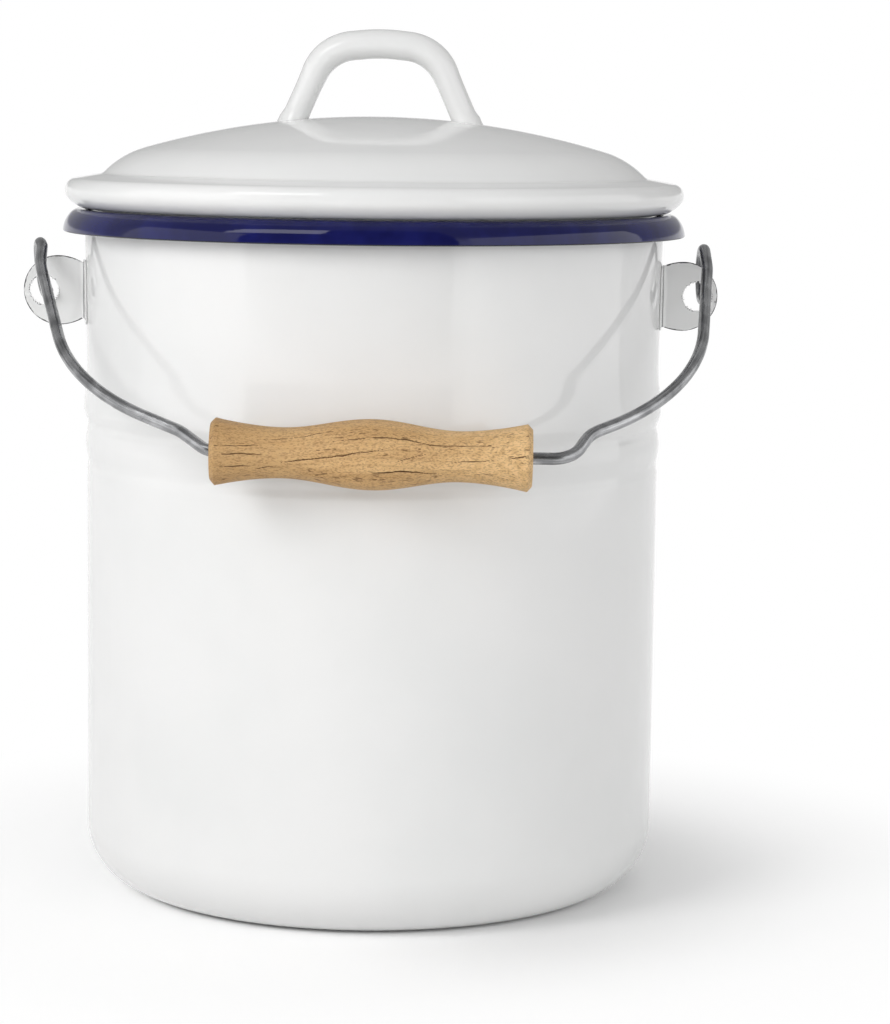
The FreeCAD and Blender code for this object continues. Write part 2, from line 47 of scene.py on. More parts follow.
# Shapes are in millimetres, finishes and the studio in metres.
MM = 0.001
wall_radius = 101.2
wall_flare = 0.7
sheet = 1.0
corner_radius = 22.0
rim_height = 239.4
mouth_roll = 2.8
top_roll = 4.27
skirt_roll = 9.33
rim_turn = 45.0
swage_top, swage_crest, swage_valley = 186.1, 169.6, 165.1
upper_swage_rise = 1.1
lower_swage_middle, lower_swage_half = 158.15, 5.75
lower_swage_rise = 0.55
swage_dips = ((164.6, 2.4), (151.4, 3.0))
dip_depth = 0.3
# Points up the wall: first height, spacing and count.
wall_rings = ((corner_radius + 4.0, 4.0, 30), (147.0, 0.5, 82), (188.5, 4.0, 12))
pail_steps = 288
# Where the blue starts, as bands of radius or height that it fades over.
blue_reach = (0.1029, 0.1032)
blue_skirt = (0.2290, 0.2300)
blue_mouth = (0.2333, 0.2337)
blue_waver = 0.0006
burnt_height = (0.2317, 0.2322)
enamel_ior = 1.52
white_gloss, blue_gloss = 0.5, 0.3
white_enamel = (0.845, 0.845, 0.84, 1.0)
shaded_white = (0.80, 0.805, 0.80, 1.0)
cobalt = (0.0095, 0.0115, 0.098, 1.0)
deep_cobalt = (0.006, 0.007, 0.062, 1.0)
burnt_edge = (0.012, 0.012, 0.016, 1.0)
pinhole = (0.16, 0.15, 0.14, 1.0)


def put(tree, kind, inputs=None, **settings):
    """Add a node with its settings; an input is a value or the socket it is linked from."""
    node = tree.nodes.new(kind)
    for key, value in settings.items():
        setattr(node, key, value)
    for key, value in (inputs or {}).items():
        if isinstance(value, bpy.types.NodeSocket):
            tree.links.new(value, node.inputs[key])
        else:
            node.inputs[key].default_value = value
    return node


def math_node(tree, operation, first, second=0.0, third=0.0):
    return put(tree, "ShaderNodeMath", {0: first, 1: second, 2: third}, operation=operation).outputs[0]


def band(tree, value, low, high, bottom=0.0, top=1.0):
    """A smooth step of a value between two limits."""
    limits = {"Value": value, "From Min": low, "From Max": high, "To Min": bottom, "To Max": top}
    return put(tree, "ShaderNodeMapRange", limits, interpolation_type="SMOOTHSTEP").outputs["Result"]


def clouds(tree, place, scale, detail):
    return put(tree, "ShaderNodeTexNoise", {"Vector": place, "Scale": scale, "Detail": detail}).outputs["Fac"]


def blend_colour(tree, factor, first, second):
    inputs = {0: factor, 6: first, 7: second}
    return put(tree, "ShaderNodeMix", inputs, data_type="RGBA", clamp_factor=True).outputs[2]


def new_finish(name):
    """A material with its Principled shader, and the object's own coordinates."""
    material = bpy.data.materials.new(name)
    material.use_nodes = True
    tree = material.node_tree
    shader = tree.nodes["Principled BSDF"]
    place = put(tree, "ShaderNodeTexCoord").outputs["Object"]
    return material, tree, shader, place


def new_tree(name, kind, inputs, outputs):
    """A node group with its sockets, and the sockets that give its inputs."""
    tree = bpy.data.node_groups.new(name, kind)
    for way, sockets in (("INPUT", inputs), ("OUTPUT", outputs)):
        for socket, content in sockets.items():
            tree.interface.new_socket(socket, in_out=way, socket_type="NodeSocket" + content)
    return tree, put(tree, "NodeGroupInput").outputs


def enamel_skin():
    """Fired enamel: slow waves where it sagged, faint drips down the wall, fine peel and rare pinholes."""
    group, given = new_tree("enamel_skin", "ShaderNodeTree",
                            {"Place": "Vector", "Wave": "Float", "Drip": "Float"},
                            {"Height": "Float", "Tint": "Float", "Roughness": "Float", "Pinhole": "Float"})
    place = given["Place"]
    wave = clouds(group, place, given["Wave"], 1.5)
    drawn_out = put(group, "ShaderNodeMapping", {"Vector": place, "Scale": (1.0, 1.0, 0.05)})
    drip = clouds(group, drawn_out.outputs["Vector"], given["Drip"], 3.0)
    peel = clouds(group, place, 520.0, 1.0)
    lines = math_node(group, "MULTIPLY_ADD", drip, 0.22, wave)
    height = math_node(group, "MULTIPLY_ADD", peel, 0.035, lines)
    tint = band(group, clouds(group, place, 14.0, 3.0), 0.35, 0.75)
    gloss = band(group, drip, 0.3, 0.75, 0.045, 0.09)
    cells = put(group, "ShaderNodeTexVoronoi", {"Vector": place, "Scale": 48.0})
    chance = put(group, "ShaderNodeSeparateColor", {"Color": cells.outputs["Color"]})
    rare = math_node(group, "GREATER_THAN", chance.outputs[0], 0.965)
    spot = band(group, cells.outputs["Distance"], 0.012, 0.022, 1.0, 0.0)
    speck = math_node(group, "MULTIPLY", spot, rare)
    put(group, "NodeGroupOutput", {"Height": height, "Tint": tint, "Roughness": gloss, "Pinhole": speck})
    return group


skin_group = enamel_skin()


def white_coat(tree, shader, place, wave, drip, depth):
    """Lay the white enamel on a shader, and return its colour for anything painted over it."""
    inputs = {"Place": place, "Wave": wave, "Drip": drip}
    skin = put(tree, "ShaderNodeGroup", inputs, node_tree=skin_group).outputs
    relief = put(tree, "ShaderNodeBump", {"Height": skin["Height"], "Distance": depth, "Strength": 1.0})
    tree.links.new(relief.outputs["Normal"], shader.inputs["Normal"])
    tree.links.new(skin["Roughness"], shader.inputs["Roughness"])
    shader.inputs["IOR"].default_value = enamel_ior
    colour = blend_colour(tree, skin["Tint"], white_enamel, shaded_white)
    return blend_colour(tree, skin["Pinhole"], colour, pinhole)


def pail_enamel():
    material, tree, shader, place = new_finish("pail_enamel")
    colour = white_coat(tree, shader, place, 34.0, 260.0, 0.00011)
    part = put(tree, "ShaderNodeSeparateXYZ", {"Vector": place}).outputs
    flat = put(tree, "ShaderNodeCombineXYZ", {"X": part["X"], "Y": part["Y"]}).outputs["Vector"]
    radius = put(tree, "ShaderNodeVectorMath", {0: flat}, operation="LENGTH").outputs["Value"]
    waver = band(tree, clouds(tree, place, 55.0, 2.0), 0.25, 0.75, -blue_waver, blue_waver)
    reach = math_node(tree, "ADD", radius, waver)
    level = math_node(tree, "ADD", part["Z"], waver)
    rolled = math_node(tree, "MULTIPLY", band(tree, reach, *blue_reach), band(tree, part["Z"], *blue_skirt))
    blue_part = math_node(tree, "MAXIMUM", rolled, band(tree, level, *blue_mouth))
    blue = blend_colour(tree, band(tree, clouds(tree, place, 90.0, 2.0), 0.3, 0.7), cobalt, deep_cobalt)
    edge = math_node(tree, "MULTIPLY", band(tree, part["Z"], *burnt_height, 1.0, 0.0), rolled)
    blue = blend_colour(tree, edge, blue, burnt_edge)
    tree.links.new(blend_colour(tree, blue_part, colour, blue), shader.inputs["Base Color"])
    gloss = band(tree, blue_part, 0.0, 1.0, white_gloss, blue_gloss)
    tree.links.new(gloss, shader.inputs["Specular IOR Level"])
    return material


def coated(tree, mesh, finish, name):
    """End a shape's tree: smooth, made real and in its finish."""
    smooth = put(tree, "GeometryNodeSetShadeSmooth", {"Geometry": mesh, "Shade Smooth": True})
    real = put(tree, "GeometryNodeRealizeInstances", {"Geometry": smooth.outputs["Geometry"]})
    coat = put(tree, "GeometryNodeSetMaterial", {"Geometry": real.outputs["Geometry"], "Material": finish})
    put(tree, "NodeGroupOutput", {name: coat.outputs["Geometry"]})


def turning_tree():
    """A section turned about the upright axis into a closed skin."""
    tree, given = new_tree("turned_section", "GeometryNodeTree",
                           {"Section": "Geometry", "Steps": "Int", "Radius": "Float", "Finish": "Material"},
                           {"Turned": "Geometry"})
    ring = put(tree, "GeometryNodeCurvePrimitiveCircle",
               {"Resolution": given["Steps"], "Radius": given["Radius"]}, mode="RADIUS")
    upright = put(tree, "GeometryNodeSetCurveNormal", {"Curve": ring.outputs["Curve"]}, mode="Z_UP")
    skin = put(tree, "GeometryNodeCurveToMesh",
               {"Curve": upright.outputs["Curve"], "Profile Curve": given["Section"]})
    closed = put(tree, "GeometryNodeMergeByDistance", {"Geometry": skin.outputs["Mesh"], "Distance": 1e-6})
    coated(tree, closed.outputs["Geometry"], given["Finish"], "Turned")
    return tree


turning = turning_tree()


def new_object(name, data):
    item = bpy.data.objects.new(name, data)
    bpy.context.scene.collection.objects.link(item)
    return item


def shaped(name, points, tree, sizes, closed=False, swell=None):
    """Run a node tree along a line of points and keep the result as a plain mesh object."""
    line = bpy.data.curves.new(name + "_line", "CURVE")
    line.dimensions = "3D"
    spline = line.splines.new("POLY")
    spline.points.add(len(points) - 1)
    spline.use_cyclic_u = closed
    for index, place in enumerate(points):
        spline.points[index].co = (*place, 1.0)
        spline.points[index].radius = 1.0 if swell is None else swell[index]
    carrier = new_object(name + "_line", line)
    modifier = carrier.modifiers.new("shape", "NODES")
    modifier.node_group = tree
    for item in tree.interface.items_tree:
        if item.in_out == "INPUT" and item.name in sizes:
            modifier[item.identifier] = sizes[item.name]
    ready = carrier.evaluated_get(bpy.context.evaluated_depsgraph_get())
    mesh = bpy.data.meshes.new_from_object(ready)
    mesh.name = name
    bpy.data.objects.remove(carrier)
    bpy.data.curves.remove(line)
    return new_object(name, mesh)


def turned(name, section, steps, finish, closed=False):
    """Turn a section of (across, up) in millimetres, listed round the solid with the solid on its left."""
    radius = wall_radius * MM
    points = [(across * MM - radius, -up * MM, 0.0) for across, up in reversed(section)]
    return shaped(name, points, turning, {"Steps": steps, "Radius": radius, "Finish": finish}, closed)


def arc(across, up, radius, start, end, count):
    """Points on an arc of a section, between two angles in degrees."""
    points = []
    for index in range(count + 1):
        angle = math.radians(start + (end - start) * index / count)
        points.append((across + radius * math.cos(angle), up + radius * math.sin(angle)))
    return points


def held(value, low=0.0, high=1.0):
    """A value kept between two limits."""
    return max(low, min(high, value))


def eased(share):
    """A smooth step from nothing to one."""
    share = held(share)
    return share * share * (3 - 2 * share)


def swell_at(height, middle, below, above):
    """Height of a soft swage: one at its crest, nothing past its ends."""
    share = (height - middle) / (above if height > middle else below)
    return math.cos(share * math.pi / 2) ** 2 if abs(share) < 1 else 0.0


roll_start = rim_height - mouth_roll
mouth_radius = wall_radius + wall_flare - sheet
roll_centre = mouth_radius + mouth_roll
top_centre = rim_height - top_roll
roll_step = (skirt_roll - top_roll) * math.sin(math.radians(rim_turn))
skirt_centre = (roll_centre - roll_step, top_centre - roll_step)


def wall_line(height):
    """Outside radius of the wall at a height, with its two swages and the flare above them."""
    flared = wall_flare * max(0.0, (height - swage_top) / (roll_start - swage_top))
    upper = swell_at(height, swage_crest, swage_crest - swage_valley, swage_top - swage_crest)
    lower = swell_at(height, lower_swage_middle, lower_swage_half, lower_swage_half)
    dips = sum(dip_depth * swell_at(height, middle, half, half) for middle, half in swage_dips)
    return wall_radius + flared + upper_swage_rise * upper + lower_swage_rise * lower - dips


def pail_section():
    """Up the outside, round the rim and down the inside, as (across, up)."""
    flat = wall_radius - corner_radius
    heights = [start + gap * step for start, gap, count in wall_rings for step in range(count)]
    base = [(0.0, 0.0), (flat * 0.35, 0.0), (flat * 0.7, 0.0)]
    outside = base + arc(flat, corner_radius, corner_radius, -90, 0, 28)
    outside += [(wall_line(height), height) for height in heights]
    under = arc(roll_centre, roll_start, mouth_roll - sheet, 180, 90, 8)
    under += arc(roll_centre, top_centre, top_roll - sheet, 90, rim_turn, 6)[1:]
    under += arc(*skirt_centre, skirt_roll - sheet, rim_turn, 4, 10)[1:]
    tip = (skirt_centre[0] + skirt_roll - sheet / 2, skirt_centre[1] + sheet / 2)
    under += arc(*tip, sheet / 2, 180, 360, 8)
    over = arc(*skirt_centre, skirt_roll, 4, rim_turn, 14)
    over += arc(roll_centre, top_centre, top_roll, rim_turn, 90, 8)[1:]
    over += arc(roll_centre, roll_start, mouth_roll, 90, 180, 10)[1:]
    inside = [(wall_line(height) - sheet, height) for height in reversed(heights)]
    inside += arc(flat, corner_radius, corner_radius - sheet, 0, -90, 24)
    return outside + under + over + inside + [(flat * 0.5, sheet), (0.0, sheet)]


pail = turned("enamelled_pail", pail_section(), pail_steps, pail_enamel())
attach(pail, "pail")
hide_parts("bucket_shell")


# Ears: two lugs stamped from sheet steel, each bent along one side into a foot that is spot welded to
# the wall and enamelled over with the pail. The enamel draws back from the cut edges and the hole,
# where the dark ground coat shows as a thin line.

ear_middle = 210.2
ear_gauge = 1.2
ear_radius = 12.25
ear_neck = {"left_ear": 9.4, "right_ear": 10.6}
disc_place = {"left_ear": 111.55, "right_ear": 109.75}
hole_shift = 5.0
hole_radius = 5.2
ear_bend = 2.2
foot_width = 17.0
foot_height = 22.4
foot_corner = 3.0
foot_blend = 5.0
foot_thin = 0.6
foot_gap = 0.03
edge_round = 0.42
hole_steps = 40
hole_wear = 0.9
cap_spacing = 0.8
# Where the foot's face beside its bend is darkened with painted crease shade, as distances out from the axis.
crease_shade_start, crease_shade_end = (0.1023, 0.1024), (0.10265, 0.1028)
# Dark colour of the ground coat at the cut edges, also used for the painted crease shade on the foot.
ground_coat_and_crease_shade = (0.035, 0.036, 0.042, 1.0)


def ear_enamel():
    material, tree, shader, place = new_finish("ear_enamel")
    colour = white_coat(tree, shader, place, 90.0, 400.0, 0.00012)
    edge = put(tree, "ShaderNodeAttribute", attribute_name="cut_edge").outputs["Fac"]
    ragged = band(tree, clouds(tree, place, 330.0, 2.0), 0.3, 0.7, -0.3, 0.25)
    line = band(tree, math_node(tree, "ADD", edge, ragged), 0.55, 0.85)
    out = math_node(tree, "ABSOLUTE", put(tree, "ShaderNodeSeparateXYZ", {"Vector": place}).outputs["X"])
    # Painted shade: the foot darkens beside its bend, as if shaded in the crease against the wall.
    crease_shade = math_node(tree, "MULTIPLY", band(tree, out, *crease_shade_start), band(tree, out, *crease_shade_end, 1.0, 0.0))
    line = math_node(tree, "MAXIMUM", line, math_node(tree, "MULTIPLY", crease_shade, 0.8))
    tree.links.new(blend_colour(tree, line, colour, ground_coat_and_crease_shade), shader.inputs["Base Color"])
    return material


def ear_outline(reach, neck):
    """The flat blank of an ear as (out from the wall, up), anticlockwise from the foot's lower corner."""
    foot = foot_height / 2
    blank = arc(-foot_width + foot_corner, -foot + foot_corner, foot_corner, 180, 270, 8)
    blank += [(-foot_width * share, -foot) for share in (0.6, 0.4, 0.2)]
    blank += arc(-0.9, -foot + 0.7, 0.7, 270, 360, 4)
    blank += [(0.0, -neck - 0.4)]
    upper = [(across, -up) for across, up in reversed(blank)]
    shoulder = (reach * reach + (ear_radius - neck) ** 2) / (2 * (ear_radius - neck))
    sweep = math.degrees(math.asin(min(1.0, reach / shoulder)))
    blank += arc(reach, shoulder - ear_radius, shoulder, 270 - sweep, 270, 12)[1:]
    blank += arc(reach, 0.0, ear_radius, -90, 90, 48)[1:]
    blank += arc(reach, ear_radius - shoulder, shoulder, 90, 90 + sweep, 12)[1:-1]
    return blank + upper


def inset_loop(loop, depth):
    """A closed loop moved to its left by a depth."""
    moved = []
    for index, (across, up) in enumerate(loop):
        before = Vector(loop[index - 1])
        after = Vector(loop[(index + 1) % len(loop)])
        way = (after - before).normalized()
        moved.append((across - way.y * depth, up + way.x * depth))
    return moved


def round_edge(loop, wear, points, faces, near):
    """Add the rounded edge along a loop of the blank, and return its lowest and highest ring."""
    half = ear_gauge / 2 - edge_round
    rings = []
    for angle in range(-90, 91, 30):
        slant = math.radians(angle)
        shifted = inset_loop(loop, edge_round * (1 - math.cos(slant)))
        through = math.copysign(half, angle) if angle else 0.0
        through += edge_round * math.sin(slant)
        rings.append(range(len(points), len(points) + len(loop)))
        points += [(across, up, through) for across, up in shifted]
        bare = wear if abs(angle) < 90 else wear * 0.5
        near += [bare * held(across - 0.5) for across, up in shifted]
    for low, high in zip(rings, rings[1:]):
        for index in range(len(loop)):
            following = (index + 1) % len(loop)
            faces.append((low[index], low[following], high[following], high[index]))
    return rings[0], rings[-1]


def fill_cap(rings, outline, hole, top, points, faces, near):
    """Fill one flat side of the blank between its rings with even triangles."""
    border = [index for ring in rings for index in ring]
    flat = [Vector(points[index][:2]) for index in border]
    edges, start = [], 0
    for ring in rings:
        count = len(ring)
        edges += [(start + index, start + (index + 1) % count) for index in range(count)]
        start += count
    lows = [min(place[axis] for place in flat) for axis in (0, 1)]
    highs = [max(place[axis] for place in flat) for axis in (0, 1)]
    columns, rows = (int((high - low) / cap_spacing) for low, high in zip(lows, highs))
    inner = []
    for row in range(rows):
        for column in range(columns):
            across = lows[0] + (column + 0.5 * (row % 2) + 0.5) * cap_spacing
            place = Vector((across, lows[1] + (row + 0.5) * cap_spacing))
            if min((place - other).length for other in flat) > cap_spacing * 0.6:
                inner.append(place)
    placed, _, triangles, came_from, _, _ = delaunay_2d_cdt(flat + inner, edges, [], 1, 1e-5)
    through = points[border[0]][2]
    names = []
    for place, sources in zip(placed, came_from):
        known = [source for source in sources if source < len(border)]
        if known:
            names.append(border[known[0]])
            continue
        names.append(len(points))
        points.append((place.x, place.y, through))
        gap = min((place - other).length for other in flat)
        near.append(max(0.0, 0.3 - gap))
    hole_middle = sum((Vector(place) for place in hole), Vector((0.0, 0.0))) / len(hole)
    hole_reach = (Vector(hole[0]) - hole_middle).length
    for triangle in triangles:
        middle = sum((placed[index] for index in triangle), Vector((0.0, 0.0))) / 3
        if (middle - hole_middle).length >= hole_reach and inside_loop(middle, outline):
            corners = [names[index] for index in triangle]
            faces.append(tuple(corners if top else corners[::-1]))


def cut_blank(outline, hole):
    """A flat sheet with rounded edges: its points (out, up, through), faces, and how bare each point is."""
    points, faces, near = [], [], []
    loops = ((outline, 1.0), (hole, hole_wear))
    bottom, top = zip(*[round_edge(loop, wear, points, faces, near) for loop, wear in loops])
    fill_cap(bottom, outline, hole, False, points, faces, near)
    fill_cap(top, outline, hole, True, points, faces, near)
    return points, faces, near


def inside_loop(place, loop):
    """Whether a ray from the place crosses the loop an odd number of times."""
    inside = False
    for (x1, y1), (x2, y2) in zip(loop, loop[1:] + loop[:1]):
        if (y1 > place.y) != (y2 > place.y) and place.x < (x2 - x1) * (place.y - y1) / (y2 - y1) + x1:
            inside = not inside
    return inside


def fold_ear(out, up, through, side):
    """Bend a point of the blank: the lug stands out square, the foot follows the wall to the front."""
    height = ear_middle + up
    wall = wall_line(height) + ear_gauge / 2 + foot_gap
    corner = math.sqrt((wall + ear_bend) ** 2 - ear_bend ** 2)
    turn = math.acos(ear_bend / (wall + ear_bend))
    lug_start = corner - wall
    if out > lug_start:
        across, along, way = wall + out, 0.0, math.pi
    elif out > lug_start - turn * ear_bend:
        angle = (lug_start - out) / ear_bend
        across = corner - ear_bend * math.sin(angle)
        along = -ear_bend + ear_bend * math.cos(angle)
        way = math.pi + angle
    else:
        travel = (lug_start - turn * ear_bend - out) / wall
        angle = -(math.pi / 2 - turn) - travel
        across, along, way = wall * math.cos(angle), wall * math.sin(angle), angle - math.pi / 2
    thinned = foot_thin * eased((lug_start - out) / foot_blend)
    across += through * (1 - thinned) * math.sin(way)
    along -= through * (1 - thinned) * math.cos(way)
    drawn_in = 1 - thinned * ear_gauge / 2 / math.hypot(across, along)
    return (side * across * drawn_in * MM, along * drawn_in * MM, height * MM)


def make_ear(name, side, finish):
    reach = disc_place[name] - wall_line(ear_middle) - ear_gauge / 2 - foot_gap
    middle = reach + hole_shift
    hole = [(middle + hole_radius * math.cos(turn), -hole_radius * math.sin(turn))
            for turn in (math.tau * index / hole_steps for index in range(hole_steps))]
    points, faces, near = cut_blank(ear_outline(reach, ear_neck[name]), hole)
    mesh = bpy.data.meshes.new(name + "_lug")
    mesh.from_pydata([fold_ear(*point, side) for point in points], [], faces)
    edge = mesh.attributes.new("cut_edge", "FLOAT", "POINT")
    edge.data.foreach_set("value", near)
    mesh.shade_smooth()
    shape = bmesh.new()
    shape.from_mesh(mesh)
    bmesh.ops.recalc_face_normals(shape, faces=shape.faces)
    # The flat sides meet the rounded edges where triangles meet quads, and keep their own shading there.
    for seam in shape.edges:
        seam.smooth = len({len(face.verts) for face in seam.link_faces}) == 1
    shape.to_mesh(mesh)
    shape.free()
    mesh.materials.append(finish)
    piece = new_object(name + "_lug", mesh)
    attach(piece, "pail")
    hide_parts(name)


ear_finish = ear_enamel()
make_ear("left_ear", -1, ear_finish)
make_ear("right_ear", 1, ear_finish)


# Bail: one length of galvanised steel wire bent by hand, with an eye at each end that hooks through an
# ear, a soft shoulder on each arm and a kink that stops the grip. The drawing die leaves fine lines
# along the wire, and the zinc has dulled to a dark grey.

wire = 4.0
eye_radius = 8.9
eye_place = 116.85
eye_wrap = 238.0
eye_steps = 72
left_twist = math.radians(14.0)
pivot_height = 217.9
bail_lean = math.radians(29.11)
# Corners of each arm as (across, out from the swing axis), and the radius each inner corner is bent to.
right_bends = (45.0, 78.0, 14.0, 10.0)
left_bends = (45.0, 78.0, 14.0, 7.0)
right_arm = ((116.85, 0.0), (116.85, 10.0), (108.3, 87.25), (70.6, 112.2), (64.1, 126.41))
left_arm = ((-116.85, 0.0), (-116.4, 12.0), (-99.7, 87.25), (-62.4, 112.6), (-53.1, 123.76))
wire_step = 1.2
wire_sides = 32
dull_zinc = (0.125, 0.127, 0.132, 1.0)
bright_zinc = (0.52, 0.524, 0.533, 1.0)


def wire_finish():
    material, tree, shader, place = new_finish("galvanised_wire")
    around = put(tree, "ShaderNodeAttribute", attribute_name="round").outputs["Vector"]
    along = put(tree, "ShaderNodeAttribute", attribute_name="along").outputs["Fac"]
    stretched = put(tree, "ShaderNodeCombineXYZ", {"Z": math_node(tree, "MULTIPLY", along, 9.0)})
    drawn = put(tree, "ShaderNodeVectorMath", {0: around, 1: stretched.outputs["Vector"]}, operation="ADD")
    lines = math_node(tree, "MULTIPLY", clouds(tree, drawn.outputs["Vector"], 6.0, 5.0), 0.5)
    worn = math_node(tree, "MULTIPLY_ADD", clouds(tree, place, 130.0, 2.0), 0.5, lines)
    shade = band(tree, worn, 0.3, 0.75)
    tree.links.new(blend_colour(tree, shade, dull_zinc, bright_zinc), shader.inputs["Base Color"])
    tree.links.new(band(tree, worn, 0.3, 0.75, 0.31, 0.22), shader.inputs["Roughness"])
    relief = put(tree, "ShaderNodeBump", {"Height": worn, "Distance": 0.00006, "Strength": 0.6})
    tree.links.new(relief.outputs["Normal"], shader.inputs["Normal"])
    shader.inputs["Metallic"].default_value = 0.85
    return material


def rod_tree():
    """An oval section drawn along a path, with the place along and round it kept for its finish."""
    tree, given = new_tree("drawn_rod", "GeometryNodeTree",
                           {"Path": "Geometry", "Thickness": "Float", "Width": "Float", "Sides": "Int",
                            "Finish": "Material"}, {"Rod": "Geometry"})
    length = put(tree, "GeometryNodeSplineParameter").outputs["Length"]
    path = put(tree, "GeometryNodeStoreNamedAttribute",
               {"Geometry": given["Path"], "Name": "along", "Value": length},
               data_type="FLOAT", domain="POINT")
    ring = put(tree, "GeometryNodeCurvePrimitiveCircle",
               {"Resolution": given["Sides"], "Radius": 0.5}, mode="RADIUS")
    spot = put(tree, "GeometryNodeInputPosition").outputs["Position"]
    marked = put(tree, "GeometryNodeStoreNamedAttribute",
                 {"Geometry": ring.outputs["Curve"], "Name": "round", "Value": spot},
                 data_type="FLOAT_VECTOR", domain="POINT")
    size = put(tree, "ShaderNodeCombineXYZ", {"X": given["Thickness"], "Y": given["Width"], "Z": 1.0})
    oval = put(tree, "GeometryNodeTransform",
               {"Geometry": marked.outputs["Geometry"], "Scale": size.outputs["Vector"]})
    swell = put(tree, "GeometryNodeInputRadius").outputs["Radius"]
    drawn = put(tree, "GeometryNodeCurveToMesh",
                {"Curve": path.outputs["Geometry"], "Profile Curve": oval.outputs["Geometry"],
                 "Scale": swell, "Fill Caps": True})
    coated(tree, drawn.outputs["Mesh"], given["Finish"], "Rod")
    return tree


rod = rod_tree()


def bent_line(corners, bends, step):
    """Straight runs through the corners, with each inner corner bent to its radius."""
    places = [Vector(corner) for corner in corners]
    line = [places[0]]
    for before, corner, after, bend in zip(places, places[1:], places[2:], bends):
        into = (corner - before).normalized()
        out = (after - corner).normalized()
        turn = into.angle_signed(out)
        cut = bend * math.tan(abs(turn) / 2)
        start = corner - into * cut
        side = Vector((into.y, -into.x)) * math.copysign(1.0, turn)
        centre = start + side * bend
        count = max(4, int(bend * abs(turn) / step))
        for index in range(count + 1):
            spun = start - centre
            spun.rotate(Matrix.Rotation(-turn * index / count, 2))
            line.append(centre + spun)
    line.append(places[-1])
    even = [line[0]]
    for place in line[1:]:
        start = even[-1]
        count = int((place - start).length / (3 * step)) + 1
        even += [start.lerp(place, index / count) for index in range(1, count)]
        even.append(place)
    return even


def leaned(across, along, up):
    """A point of the bail's own frame, leaned about the swing axis to where it hangs."""
    forward = along * math.cos(bail_lean) - up * math.sin(bail_lean)
    height = along * math.sin(bail_lean) + up * math.cos(bail_lean)
    return (across * MM, forward * MM, (pivot_height + height) * MM)


def eye_ring(across, twist):
    """An eye of the bail, from where its arm leaves it round to its end."""
    ring = []
    for index in range(eye_steps + 1):
        turn = math.radians(eye_wrap * index / eye_steps)
        back = eye_radius * math.sin(turn)
        ring.append((across + back * math.sin(twist), back * math.cos(twist), eye_radius * math.cos(turn)))
    return ring


def bail_path():
    """The wire's middle line, from the end of its right eye to the end of its left one."""
    route = bent_line(right_arm + left_arm[::-1], right_bends + left_bends[::-1], wire_step)
    arms = [(place.x, -place.y, eye_radius) for place in route]
    right_eye, left_eye = eye_ring(eye_place, 0.0), eye_ring(-eye_place, -left_twist)
    return [leaned(*place) for place in right_eye[:0:-1] + arms + left_eye[1:]]


bail = shaped("bail_wire_bent", bail_path(), rod,
              {"Thickness": wire * MM, "Width": wire * MM, "Sides": wire_sides, "Finish": wire_finish()})
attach(bail, "bail")
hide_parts("bail_wire")


# Grip: a length of beech turned with flared ends, two waists and a swell in the middle, chamfered at
# both ends and bored for the wire it spins on. It is left bare, so it has dried, opened along the
# grain in fine checks and darkened in its pores.

grip_half = 51.7
grip_swell = 11.55
grip_waist = 8.3
grip_end = 11.0
grip_chamfer = 1.6
grip_bore = 2.4
bore_ease = 0.5
flare_power = 1.8
waist_at = grip_half * 0.55
grip_centre = (-0.4, -113.5, 164.9)
grip_axis = (0.999744, -0.01975, -0.010997)
grip_steps, grip_rings = 288, 250
pale_beech = (0.73, 0.475, 0.225, 1.0)
warm_beech = (0.59, 0.358, 0.152, 1.0)
sap_beech = (0.88, 0.61, 0.31, 1.0)
late_wood = (0.40, 0.235, 0.095, 1.0)
open_pore = (0.17, 0.082, 0.03, 1.0)
check_wood = (0.105, 0.05, 0.019, 1.0)
check_share = 0.52
check_spread = 1.5
turning_error = 0.09
# Checks on the side that shows: half width, depth, and a line of (along the grip, up from its middle).
front_checks = (
    (0.30, 0.5, ((-47.6, 0.2), (-41.0, 0.5), (-34.1, 0.1))),
    (0.22, 0.3, ((-35.7, 4.8), (-25.4, 5.5), (-18.0, 7.0), (-11.2, 8.2))),
    (0.30, 0.5, ((-12.4, 5.0), (-8.1, 5.5), (1.4, 6.7), (12.5, 6.0), (18.8, 4.4), (39.3, 4.9))),
    (0.34, 0.5, ((-36.5, -4.5), (-31.0, -3.9))),
    (0.34, 0.6, ((-29.0, -2.4), (-21.5, -1.3), (-11.2, 0.3), (4.6, 3.0))),
    (0.42, 0.7, ((-0.9, -5.0), (10.1, -4.2), (15.6, -4.6), (21.2, -5.0))),
    (0.24, 0.3, ((-50.7, 2.9), (-35.7, 3.1))),
    (0.28, 0.4, ((-50.7, -4.0), (-35.7, -3.7))),
    (0.22, 0.3, ((25.9, -1.0), (39.3, -0.1))),
    (0.28, 0.4, ((44.1, 0.8), (50.4, 1.8))),
    (0.24, 0.3, ((-18.3, -6.6), (-13.6, -5.3))),
    (0.20, 0.2, ((7.0, -1.3), (18.0, 1.6))),
    (0.22, 0.3, ((9.3, -7.4), (14.1, -7.0))),
    (0.22, 0.3, ((-17.5, 2.1), (-9.6, 2.9))),
)
hidden_checks = 26


def grip_radius_at(along):
    """Radius of the turned grip at a distance from its middle."""
    away = min(abs(along), grip_half)
    if away < waist_at:
        return grip_waist + (grip_swell - grip_waist) * (1 + math.cos(math.pi * away / waist_at)) / 2
    share = (away - waist_at) / (grip_half - grip_chamfer - waist_at)
    return grip_waist + (grip_end - grip_waist) * min(share, 1.0) ** flare_power


